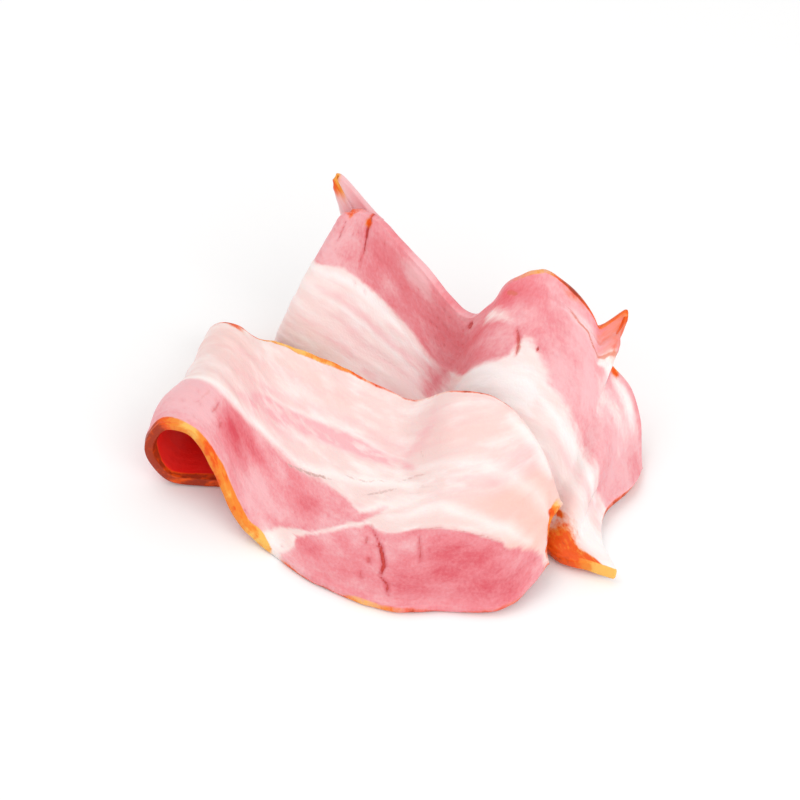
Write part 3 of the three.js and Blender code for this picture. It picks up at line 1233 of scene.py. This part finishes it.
def rear_smoke() -> Smoke:
    """Returns the smoked tint of the rear rasher."""
    return Smoke(
        stains_and_shade=(
            # painted shade: patches at stations 1.3 to 2.6 deepen the orange to ember in the groove under
            # the front
            Blotch((2.1, 0.95), (4.5, 5.6), 1.5),
            Blotch((1.3, 0.985), (4.0, 2.6), 1.1),
            Blotch((0.5, 1.0), (3.2, 1.1), 0.9),
            Blotch((2.55, 0.82), (1.6, 0.8), 0.85),
            Blotch((2.72, 0.012), (1.3, 1.1), 1.0),
            Blotch((3.42, 0.0), (2.8, 5.5), 0.56),
            Blotch((3.40, 0.0), (0.6, 0.9), 0.4),
            Blotch((4.5, 0.0), (4.0, 1.0), 0.4),
            Blotch((12.75, 0.015), (1.0, 0.9), 0.9),
            Blotch((13.5, 0.0), (1.5, 0.8), 0.7),
            Blotch((15.95, 0.0), (1.1, 1.5), 1.1),
        ),
        rims=(
            Rim(
                Edge.SKIN,
                smoke=((0, 1), (2.6, 1), (4, 0.8), (17, 0.8)),
                # partly painted shade: from station 1.5 to 2.7 the rim turns ember and brown into the
                # groove under the front's end
                char=(
                    (0, -1.1), (0.6, -0.9), (1.0, 0.1), (1.5, 0.7), (2.3, 0.85), (2.7, 1.1), (4, 0.3),
                    (17, 0.2),
                ),
                reach=((0, -0.1), (0.7, 0.2), (1.4, 0.8), (17, 0.8)),
            ),
            Rim(
                Edge.LEAN,
                smoke=(
                    (0, 0.5), (1.4, 0.6), (2.4, 0.9), (2.9, 0.6), (3.6, 0.8), (5.0, 0.8), (5.6, 0.6),
                    (6.4, 0.45), (7.0, 0.25), (7.6, 0), (9.0, 0), (12.4, 0), (12.9, 0.3), (13.4, 0.6),
                    (14.2, 0.2), (14.8, 0), (17, 0),
                ),
                char=(
                    (0, 0.7), (1, 0.3), (2.6, -0.1), (3.0, 0.9), (3.45, 0.5), (4.0, 1.0), (5.0, 0.9),
                    (5.5, -0.4), (6.6, -0.5), (8, 0.5), (12, 0.5), (13.5, 0.7), (15, 0.2), (16.1, -0.5),
                    (17, -0.2),
                ),
                reach=(
                    (0, -0.6), (2.4, -0.3), (3, 0.1), (4, 0.15), (5.0, 0.0), (5.6, -0.2), (6.4, -0.3),
                    (7.4, -0.9), (9.0, -1.1), (12.4, -1.0), (13.4, 0.1), (15, -0.6), (16.1, 0.3),
                    (17, -0.5),
                ),
            ),
            Rim(
                Edge.FIRST_END,
                smoke=((0, 0.6), (0.3, 0.8), (0.5, 0.6), (0.62, 0.15), (1, 0.3)),
                char=((0, 0.8), (0.5, 0.9), (0.7, 0), (1, -0.6)),
                reach=((0, -0.5), (1, -0.6)),
            ),
            Rim(
                Edge.LAST_END,
                smoke=((0, 0.05), (0.3, 0.1), (1, 0.3)),
                char=((0, 0.1), (1, 0.1)),
                reach=((0, -0.4),),
            ),
        ),
    )


def rear_rasher() -> Rasher:
    """Describes the rear rasher, which stands in two folds.

    Returns:
        The rasher, not yet built.
    """
    stations = (
        # the right end, flat on the table from the lean corner to the skin corner
        Station((47.5, -8, LYING), (41, -40, LYING), (-5, 0, 1)),
        Station((48, -0.5, 4), (35.5, -38, 1.8), (-4.5, 0, -0.5)),
        Station((46, 3.5, 11), (30.5, -35.5, 1.6), (-1, 1, -1)),
        Station((41.5, 6, 17), (26, -27.5, LYING), (2, 2, -3)),
        # up the right fold to its crest
        Station((38.6, 7.5, 27), (21.5, -19.5, LYING), (3, 2, -5)),
        Station((31.5, 9.5, 34), (18, -12, LYING), (2, 1, -5)),
        Station((26.5, 9.5, 36.5), (14, -6.5, LYING), (0, 1, -5)),
        Station((21.5, 9.5, 34), (12, -2.5, LYING), (-1, 2, -5)),
        Station((18, 10, 28), (10.5, 1.5, LYING), (-1, 3, -5)),
        # the valley
        Station((14.5, 13, 23.5), (7.5, 4.5, LYING), (0, 4, -5)),
        Station((9.5, 17, 25), (3.5, 6, LYING), (0, 5, -5)),
        # the left fold, up to its crest
        Station((4.5, 21, 30), (-1.5, 7, LYING), (0, 4, -5)),
        Station((-1, 25.5, 34), (-8, 9, LYING), (0, 3, -6)),
        Station((-7.5, 29.5, 37), (-17.5, 17.5, LYING), (0, 1, -3)),
        Station((-10.8, 30, 35.6), (-26.2, 26, LYING), (-0.6, 0, 0.6)),
        # round behind the left fold to the hidden end
        Station((-10, 33.6, 32), (-24.6, 31.2, LYING)),
        Station((-7.2, 36, 31.5), (-20.2, 34.8, LYING), (0, 1, 1)),
        Station((-4, 34.8, 30.5), (-15.5, 35, LYING), (0, 2, 0)),
    )
    pulls = (
        # the ear on the right fold, the tongue behind the left one
        Pull((0.2, 0), (0.0135, 0.12), (5.4, 3, 5.5), 0.4, 3),
        Pull((0.95, 0), (0.028, 0.13), (-5.8, 0.6, 9.2), 0.25, 3),
        # the end's rounded lean corner and its plump skin corner
        Pull((0, 0.2), (0.05, 0.16), (2.4, -0.4, 0)),
        Pull((0, 1), (0.07, 0.16), (0, 0, 0.8), -0.6),
    )
    return Rasher(
        name="rear_rasher_meat",
        node="rear_rasher",
        stations=stations,
        pulls=pulls,
        marbling=rear_marbling(),
        cuts=rear_cuts(),
        smoke=rear_smoke(),
        seed=31,
        waver=0.75,
        hem=rear_hem,
    )


def shade(red: int, green: int, blue: int) -> tuple[float, float, float, float]:
    """Returns a display colour of 0 to 255 as linear values with full alpha.

    Args:
        red: Its red.
        green: Its green.
        blue: Its blue.

    Returns:
        The linear colour.
    """
    shares = [value / 255 for value in (red, green, blue)]
    linear = [((v + 0.055) / 1.055) ** 2.4 if v > 0.04045 else v / 12.92 for v in shares]
    return (*linear, 1.0)


@dataclass
class Wiring:
    """A helper that adds and joins shader nodes in one node tree."""

    tree: bpy.types.NodeTree

    def node(self, kind: str, **settings: object) -> bpy.types.Node:
        """Adds a node and sets its plain properties.

        Args:
            kind: The node's type.
            settings: Its properties by name.

        Returns:
            The new node.
        """
        node = self.tree.nodes.new(kind)
        for name, value in settings.items():
            setattr(node, name, value)
        return node

    def feed(self, socket: bpy.types.NodeSocket, value: object) -> None:
        """Links a socket to value where it is one, or else sets it.

        Args:
            socket: The input to feed.
            value: A socket or a plain value.
        """
        if isinstance(value, bpy.types.NodeSocket):
            self.tree.links.new(value, socket)
        else:
            socket.default_value = value

    def math(self, operation: str, a: object, b: object) -> bpy.types.NodeSocket:
        """Adds a Math node and returns its result.

        Args:
            operation: What it works out.
            a: Its first value.
            b: Its second value.

        Returns:
            The result.
        """
        node = self.node("ShaderNodeMath", operation=operation)
        self.feed(node.inputs[0], a)
        self.feed(node.inputs[1], b)
        return node.outputs[0]

    def times(self, a: object, b: object) -> bpy.types.NodeSocket:
        """Returns the product of two values."""
        return self.math("MULTIPLY", a, b)

    def plus(self, first: object, *others: object) -> bpy.types.NodeSocket:
        """Returns the sum of several values.

        Args:
            first: The first value.
            others: The values added to it.

        Returns:
            The sum.
        """
        total = first
        for other in others:
            total = self.math("ADD", total, other)
        return total

    def feed_all(self, node: bpy.types.Node, values: dict[str, object]) -> None:
        """Feeds several sockets of a node, each by its name.

        Args:
            node: The node to feed.
            values: Sockets or plain values by input.
        """
        for name, value in values.items():
            self.feed(node.inputs[name], value)

    def ramp(
        self, value: object, low: float, high: float, to_low: float = 0.0, to_high: float = 1.0
    ) -> bpy.types.NodeSocket:
        """Adds a smooth Map Range node and returns its result.

        Args:
            value: What it reads.
            low: Where the ramp begins.
            high: Where it ends.
            to_low: The result up to there.
            to_high: The result from there on.

        Returns:
            The result.
        """
        node = self.node("ShaderNodeMapRange", interpolation_type="SMOOTHSTEP")
        limits = {"From Min": low, "From Max": high, "To Min": to_low, "To Max": to_high}
        self.feed_all(node, {"Value": value, **limits})
        return node.outputs["Result"]

    def around_half(self, value: object, amount: object) -> bpy.types.NodeSocket:
        """Returns a 0 to 1 value as a swing of that amount about zero."""
        return self.times(self.math("SUBTRACT", value, 0.5), amount)

    def mix(self, share: object, a: object, b: object) -> bpy.types.NodeSocket:
        """Adds a colour Mix node and returns the mixed colour.

        Args:
            share: How much of b shows.
            a: The colour below.
            b: The colour above.

        Returns:
            The mixed colour.
        """
        node = self.node("ShaderNodeMix", data_type="RGBA", clamp_factor=True)
        self.feed(node.inputs[0], share)
        self.feed(node.inputs[6], a)
        self.feed(node.inputs[7], b)
        return node.outputs[2]

    def noise(self, place: object, stretch: Triple, detail: float = 2.0) -> bpy.types.NodeSocket:
        """Adds a Noise node over a stretched place and returns its value, 0 to 1.

        Args:
            place: The place on the rasher laid flat.
            stretch: Lumps per metre along, across and through it.
            detail: How many finer layers it has.

        Returns:
            The noise.
        """
        scaled = self.node("ShaderNodeVectorMath", operation="MULTIPLY")
        self.feed(scaled.inputs[0], place)
        scaled.inputs[1].default_value = stretch
        node = self.node("ShaderNodeTexNoise")
        self.feed(node.inputs["Vector"], scaled.outputs[0])
        node.inputs["Scale"].default_value = 1.0
        node.inputs["Detail"].default_value = detail
        return node.outputs["Fac"]

    def attribute(self, name: str, output: str = "Fac") -> bpy.types.NodeSocket:
        """Adds an Attribute node that reads the piece's own markings."""
        node = self.node("ShaderNodeAttribute", attribute_name=name, attribute_type="GEOMETRY")
        return node.outputs[output]


class Socket(Enum):
    """The kinds of socket that the node groups have."""

    NUMBER = "NodeSocketFloat"
    COLOUR = "NodeSocketColor"
    VECTOR = "NodeSocketVector"

    def named(self, *names: str) -> list[tuple[str, str]]:
        """Pairs each name with this kind."""
        return [(name, self.value) for name in names]


@dataclass(frozen=True)
class GroupPlan:
    """The name of a shader node group, and its sockets, each a name and a kind."""

    name: str
    takes: Sequence[tuple[str, str]]
    gives: Sequence[tuple[str, str]]

    def start(self) -> tuple[Wiring, dict[str, bpy.types.NodeSocket], bpy.types.Node]:
        """Makes the empty group.

        Returns:
            Its wiring, its inner inputs by name, and its output node.
        """
        tree = bpy.data.node_groups.new(self.name, "ShaderNodeTree")
        for way, sockets in (("INPUT", self.takes), ("OUTPUT", self.gives)):
            for name, kind in sockets:
                tree.interface.new_socket(name, in_out=way, socket_type=kind)
        wiring = Wiring(tree)
        entry = wiring.node("NodeGroupInput")
        inner = {name: entry.outputs[name] for name, _ in self.takes}
        return wiring, inner, wiring.node("NodeGroupOutput")


class MeatGroups:
    """The node groups that every rasher's finish shares, each built once."""

    def __init__(self) -> None:
        """Builds the four groups."""
        self.meat = self.lean_and_fat()
        self.cut = self.cut_line()
        self.smoke = self.smoked_rim()
        self.relief = self.moist_relief()

    @staticmethod
    def lean_and_fat() -> bpy.types.NodeTree:
        """Builds the marbled colour of a cut rasher.

        Returns:
            A group that turns places and markings into a colour and a mask of the lean.
        """
        plan = GroupPlan(
            "lean_and_fat",
            takes=Socket.VECTOR.named("Place")
            + Socket.NUMBER.named("Lean Level", "Red", "Blush", "Bright", "Salmon", "Streakiness")
            + Socket.COLOUR.named("Fat", "Pale Fat And Highlight", "Lean", "Pale Lean", "Deep Lean", "Salmon Fat"),
            gives=Socket.COLOUR.named("Color") + Socket.NUMBER.named("Lean Mask"),
        )
        w, take, out = plan.start()
        broad = w.noise(take["Place"], (150, 330, 300), 3.0)
        cloud = w.noise(take["Place"], (190, 260, 300), 4.0)
        fine = w.noise(take["Place"], (900, 1200, 900), 3.0)
        fibre = w.noise(take["Place"], (55, 560, 400), 3.0)
        clump = w.noise(take["Place"], (260, 620, 400), 3.0)
        grain = w.noise(take["Place"], (1700, 1500, 1300), 3.0)
        rough_edge = w.plus(w.around_half(broad, 2.0), w.around_half(fine, 0.7))
        mask = w.ramp(w.plus(take["Lean Level"], rough_edge), -0.6, 0.6)

        fat = w.mix(w.ramp(broad, 0.4, 0.75, 0.0, 0.7), take["Fat"], take["Pale Fat And Highlight"])
        fat = w.mix(w.times(w.ramp(fibre, 0.48, 0.7), take["Streakiness"]), fat, take["Pale Lean"])
        flush = w.times(take["Blush"], w.ramp(clump, 0.3, 0.62, 0.4, 1.2))
        fat = w.mix(flush, fat, take["Pale Lean"])
        fat = w.mix(take["Salmon"], fat, take["Salmon Fat"])
        # the bright marks: pale fat, and along the front's skin edge a painted highlight
        glow = w.times(take["Bright"], w.ramp(cloud, 0.3, 0.6, 0.8, 1.0))
        fat = w.mix(glow, fat, take["Pale Fat And Highlight"])

        swings = (w.around_half(cloud, 2.1), w.around_half(fibre, 0.1), w.around_half(grain, 1.1))
        tone = w.plus(take["Red"], *swings)
        lean = w.mix(w.ramp(tone, -0.9, 0.6), take["Pale Lean"], take["Lean"])
        lean = w.mix(w.ramp(tone, 0.25, 1.7), lean, take["Deep Lean"])
        lean = w.mix(w.times(take["Bright"], 0.75), lean, take["Pale Fat And Highlight"])
        w.feed(out.inputs["Color"], w.mix(mask, fat, lean))
        w.feed(out.inputs["Lean Mask"], mask)
        return w.tree

    @staticmethod
    def cut_line() -> bpy.types.NodeTree:
        """Builds the ragged border of a crack, a tear or a crease.

        Returns:
            A group that puts out the line's core and the wider halo around it.
        """
        plan = GroupPlan(
            "cut_line",
            takes=Socket.VECTOR.named("Place") + Socket.NUMBER.named("Level", "Strength"),
            gives=Socket.NUMBER.named("Core", "Halo"),
        )
        w, take, out = plan.start()
        ragged = w.noise(take["Place"], (1300, 1300, 900), 3.0)
        level = w.plus(take["Level"], w.around_half(ragged, 0.36))
        w.feed(out.inputs["Core"], w.times(w.ramp(level, -0.12, 0.12), take["Strength"]))
        w.feed(out.inputs["Halo"], w.times(w.ramp(level, -0.75, 0.0), take["Strength"]))
        return w.tree

    @staticmethod
    def smoked_rim() -> bpy.types.NodeTree:
        """Builds the smoked orange of the trimmed edges.

        Returns:
            A group that lays yellow, orange, ember and brown over a colour, and puts out where.
        """
        plan = GroupPlan(
            "smoked_rim",
            takes=Socket.VECTOR.named("Place")
            + Socket.NUMBER.named("Smoke", "Char And Shade", "Mottle")
            + Socket.COLOUR.named("Color", "Yellow", "Orange", "Ember", "Brown"),
            gives=Socket.COLOUR.named("Color") + Socket.NUMBER.named("Mask"),
        )
        w, take, out = plan.start()
        patchy = w.noise(take["Place"], (300, 420, 520), 4.0)
        speck = w.noise(take["Place"], (1300, 1300, 1300), 3.0)
        shift = w.plus(take["Char And Shade"], w.around_half(patchy, take["Mottle"]), w.around_half(speck, 1.2))
        tint = w.mix(w.ramp(shift, -0.1, -0.9), take["Orange"], take["Yellow"])
        tint = w.mix(w.ramp(shift, 0.1, 0.65), tint, take["Ember"])
        tint = w.mix(w.ramp(shift, 0.7, 1.5), tint, take["Brown"])
        strength = w.plus(take["Smoke"], w.around_half(patchy, 0.8), w.around_half(speck, 0.5))
        mask = w.times(w.ramp(strength, 0.15, 0.8), w.ramp(take["Smoke"], 0.02, 0.2))
        w.feed(out.inputs["Color"], w.mix(mask, take["Color"], tint))
        w.feed(out.inputs["Mask"], mask)
        return w.tree

    @staticmethod
    def moist_relief() -> bpy.types.NodeTree:
        """Builds the fine relief and the uneven gloss of moist meat.

        Returns:
            A group that puts out a bump height in metres and a roughness.
        """
        plan = GroupPlan(
            "moist_relief",
            takes=Socket.VECTOR.named("Place")
            + Socket.NUMBER.named("Lean Mask", "Smoke", "Groove", "Depth"),
            gives=Socket.NUMBER.named("Height", "Roughness"),
        )
        w, take, out = plan.start()
        fibre = w.noise(take["Place"], (520, 800, 700), 3.0)
        grain = w.noise(take["Place"], (2200, 1900, 1900), 3.0)
        damp = w.noise(take["Place"], (240, 330, 300), 2.0)
        raised = w.times(fibre, w.ramp(take["Lean Mask"], 0.0, 1.0, 0.6, 0.9))
        raised = w.plus(raised, w.times(grain, 0.7), w.times(take["Groove"], -1.6))
        w.feed(out.inputs["Height"], w.times(raised, take["Depth"]))
        gloss = w.ramp(damp, 0.3, 0.7, 0.34, 0.5)
        w.feed(out.inputs["Roughness"], w.plus(gloss, w.times(take["Smoke"], 0.06)))
        return w.tree


@dataclass(frozen=True)
class BaconFinish:
    """The look of one rasher: its colours, how streaky its fat and how mottled its rims are.

    depth is the height of its finest relief, in metres.
    """

    name: str
    fat: Sequence[float] = shade(243, 216, 211)
    # pale fat, which also paints the highlight along the front rasher's skin edge
    pale_fat_and_highlight: Sequence[float] = shade(254, 244, 240)
    lean: Sequence[float] = shade(234, 136, 144)
    pale_lean: Sequence[float] = shade(243, 186, 190)
    deep_lean: Sequence[float] = shade(218, 78, 92)
    salmon: Sequence[float] = shade(249, 201, 190)
    cut: Sequence[float] = shade(206, 66, 60)
    tear: Sequence[float] = shade(206, 170, 163)
    crease: Sequence[float] = shade(214, 112, 82)
    yellow: Sequence[float] = shade(249, 190, 92)
    orange: Sequence[float] = shade(242, 138, 42)
    ember: Sequence[float] = shade(238, 88, 6)
    brown: Sequence[float] = shade(164, 50, 18)
    # painted shade: the scarlet of the roll's shaded, red-lit hollow
    inside: Sequence[float] = shade(252, 24, 6)
    streakiness: float = 0.2
    mottle: float = 3.0
    depth: float = 0.09 * MM

    def material(self, groups: MeatGroups) -> bpy.types.Material:
        """Builds the finish from the shared groups.

        Args:
            groups: The node groups that every rasher's finish shares.

        Returns:
            The material.
        """
        material = bpy.data.materials.new(self.name)
        material.use_nodes = True
        material.node_tree.nodes.clear()
        w = Wiring(material.node_tree)
        place = w.attribute("flat", "Vector")

        meat = w.node("ShaderNodeGroup", node_tree=groups.meat)
        for name in ("Lean Level", "Red", "Blush", "Bright", "Salmon"):
            w.feed(meat.inputs[name], w.attribute(name.lower().replace(" ", "_")))
        tones = {"Fat": self.fat, "Pale Fat And Highlight": self.pale_fat_and_highlight, "Salmon Fat": self.salmon}
        tones |= {"Lean": self.lean, "Pale Lean": self.pale_lean, "Deep Lean": self.deep_lean}
        w.feed_all(meat, {"Place": place, "Streakiness": self.streakiness, **tones})
        crack, tear, crease = (self.cut_node(w, groups, mark, place).outputs for mark in Mark)
        colour = w.mix(w.times(tear["Core"], 0.9), meat.outputs["Color"], self.tear)
        colour = w.mix(crease["Core"], colour, self.crease)
        colour = w.mix(w.times(crack["Halo"], 0.55), colour, self.deep_lean)
        colour = w.mix(crack["Core"], colour, self.cut)
        # painted shade: the roll's hollow is painted scarlet
        colour = w.mix(w.times(w.attribute("deep"), 0.95), colour, self.inside)

        rim = w.node("ShaderNodeGroup", node_tree=groups.smoke)
        tints = {"Yellow": self.yellow, "Orange": self.orange, "Ember": self.ember, "Brown": self.brown}
        marks = {"Smoke": w.attribute("smoke"), "Char And Shade": w.attribute("char"), "Mottle": self.mottle}
        w.feed_all(rim, {"Color": colour, "Place": place, **marks, **tints})

        relief = w.node("ShaderNodeGroup", node_tree=groups.relief)
        groove = w.math("MAXIMUM", crack["Core"], w.times(tear["Core"], 0.25))
        masks = {"Lean Mask": meat.outputs["Lean Mask"], "Smoke": rim.outputs["Mask"]}
        w.feed_all(relief, {"Place": place, "Groove": groove, "Depth": self.depth, **masks})
        bump = w.node("ShaderNodeBump")
        w.feed_all(bump, {"Strength": 1.0, "Distance": 1.0, "Height": relief.outputs["Height"]})

        skin = w.node("ShaderNodeBsdfPrincipled")
        w.feed(skin.inputs["Base Color"], rim.outputs["Color"])
        w.feed(skin.inputs["Roughness"], relief.outputs["Roughness"])
        w.feed(skin.inputs["Normal"], bump.outputs["Normal"])
        skin.inputs["Specular IOR Level"].default_value = 0.24
        skin.inputs["Coat Weight"].default_value = 0.07
        skin.inputs["Coat Roughness"].default_value = 0.22
        skin.inputs["Subsurface Weight"].default_value = 0.15
        skin.inputs["Subsurface Radius"].default_value = (1.0, 0.42, 0.32)
        skin.inputs["Subsurface Scale"].default_value = 1.4 * MM
        output = w.node("ShaderNodeOutputMaterial")
        w.feed(output.inputs["Surface"], skin.outputs["BSDF"])
        return material

    @staticmethod
    def cut_node(
        w: Wiring, groups: MeatGroups, mark: Mark, place: bpy.types.NodeSocket
    ) -> bpy.types.Node:
        """Adds the line group for one kind of mark, fed from the piece's own values.

        Args:
            w: The material's wiring.
            groups: The shared node groups.
            mark: The kind of line.
            place: The place on the rasher laid flat.

        Returns:
            The group's node.
        """
        node = w.node("ShaderNodeGroup", node_tree=groups.cut)
        level, strength = w.attribute(mark.value), w.attribute(mark.value + "_strength")
        w.feed_all(node, {"Place": place, "Level": level, "Strength": strength})
        return node


@dataclass
class Studio:
    """The camera, the soft lights and the pale floor around the portion.

    Angles are in degrees, lengths in metres, and the lens and its sensor in millimetres. aim is a
    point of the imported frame.
    """

    aim: Triple
    elevation: float = 40.0
    distance: float = 0.55
    lens: float = 123.75
    sensor: float = 36.0
    floor_half: float = 2.5
    room_light: float = 0.75

    def camera(self) -> None:
        """Sets the camera at the photo's angle."""
        data = bpy.data.cameras.new("camera")
        data.lens, data.sensor_width = self.lens, self.sensor
        data.clip_start = 0.01
        rise = np.radians(self.elevation)
        away = Vector((0, -np.cos(rise), np.sin(rise))) * self.distance
        camera = bpy.data.objects.new("camera", data)
        camera.location = Vector(self.aim) + away
        camera.rotation_euler = (-away).to_track_quat("-Z", "Y").to_euler()
        bpy.context.scene.collection.objects.link(camera)
        bpy.context.scene.camera = camera

    def light(
        self, name: str, place: Triple, power: float, size: float = 0.6, tint: Triple = (1, 1, 1)
    ) -> None:
        """Hangs one soft square light that faces the portion.

        Args:
            name: Its name.
            place: Where it hangs, in metres.
            power: Its power in watts.
            size: The length of its side, in metres.
            tint: Its colour.
        """
        data = bpy.data.lights.new(name, "AREA")
        data.shape, data.size, data.energy, data.color = "SQUARE", size, power, tint
        lamp = bpy.data.objects.new(name, data)
        lamp.location = place
        lamp.rotation_euler = (Vector(self.aim) - Vector(place)).to_track_quat("-Z", "Y").to_euler()
        bpy.context.scene.collection.objects.link(lamp)

    def lights(self) -> None:
        """Sets the white surroundings and the studio lights."""
        world = bpy.data.worlds.new("soft_room")
        world.use_nodes = True
        background = world.node_tree.nodes["Background"]
        background.inputs["Color"].default_value = (1.0, 1.0, 1.0, 1.0)
        background.inputs["Strength"].default_value = self.room_light
        bpy.context.scene.world = world
        self.light("window_light", (-0.30, 0.20, 0.75), power=1.5, tint=(1.0, 0.99, 0.97))
        self.light("front_fill", (0.34, -0.56, 0.40), power=2.1)

    def floor(self) -> None:
        """Lays the plain pale floor."""
        half = self.floor_half
        mesh = bpy.data.meshes.new("floor")
        corners = [(-half, -half, 0), (half, -half, 0), (half, half, 0), (-half, half, 0)]
        mesh.from_pydata(corners, [], [(0, 1, 2, 3)])
        material = bpy.data.materials.new("pale_floor")
        material.use_nodes = True
        skin = material.node_tree.nodes["Principled BSDF"]
        skin.inputs["Base Color"].default_value = (0.98, 0.98, 0.98, 1)
        skin.inputs["Roughness"].default_value = 0.9
        skin.inputs["Specular IOR Level"].default_value = 0.1
        mesh.materials.append(material)
        floor = bpy.data.objects.new("floor", mesh)
        bpy.context.scene.collection.objects.link(floor)
        floor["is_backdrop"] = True

    def build(self) -> None:
        """Sets up the whole studio."""
        self.camera()
        self.lights()
        self.floor()
        bpy.context.scene.view_settings.view_transform = "Standard"


def drawing_offset(rashers: Sequence[Rasher]) -> Triple:
    """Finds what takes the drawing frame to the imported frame.

    Args:
        rashers: The portion's rashers.

    Returns:
        The offset in mm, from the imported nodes' boxes and the same faces drawn here.
    """
    rows, columns = np.linspace(0, 1, 200), np.linspace(0, 1, 60)
    lows, highs, drawn = [], [], []
    for rasher in rashers:
        low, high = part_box(rasher.node)
        lows.append(np.array(low) / MM)
        highs.append(np.array(high) / MM)
        drawn.append(rasher.middle(rows, columns).reshape(-1, 3))
    points = np.concatenate(drawn)
    packed = (np.min(lows, axis=0) + np.max(highs, axis=0)) / 2
    middle = (points.min(axis=0) + points.max(axis=0)) / 2
    return (float(packed[0] - middle[0]), float(packed[1] - middle[1]), 0.0)


def main() -> None:
    """Builds the portion and its studio."""
    groups = MeatGroups()
    rashers = (front_rasher(), rear_rasher())
    offset = drawing_offset(rashers)
    LOG.info("drawing frame to packed frame: %.2f, %.2f mm", offset[0], offset[1])
    Studio(aim=(offset[0] * MM, offset[1] * MM, 0.012)).build()
    rear_finish = BaconFinish(
        "rear_bacon",
        fat=shade(251, 230, 226),
        pale_fat_and_highlight=shade(255, 249, 247),
        deep_lean=shade(226, 90, 100),
        streakiness=0.18,
        mottle=1.5,
    )
    finishes = (BaconFinish("front_bacon"), rear_finish)
    for rasher, finish in zip(rashers, finishes):
        rasher.place(offset, finish.material(groups))
    sizes = {
        "cad_box_m": [list(corner) for corner in CAD_BOX],
        "visual_box_m": [list(corner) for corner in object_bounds()],
    }


if __name__ == "__main__":
    logging.basicConfig(level=logging.INFO, format="%(name)s: %(message)s")
    main()
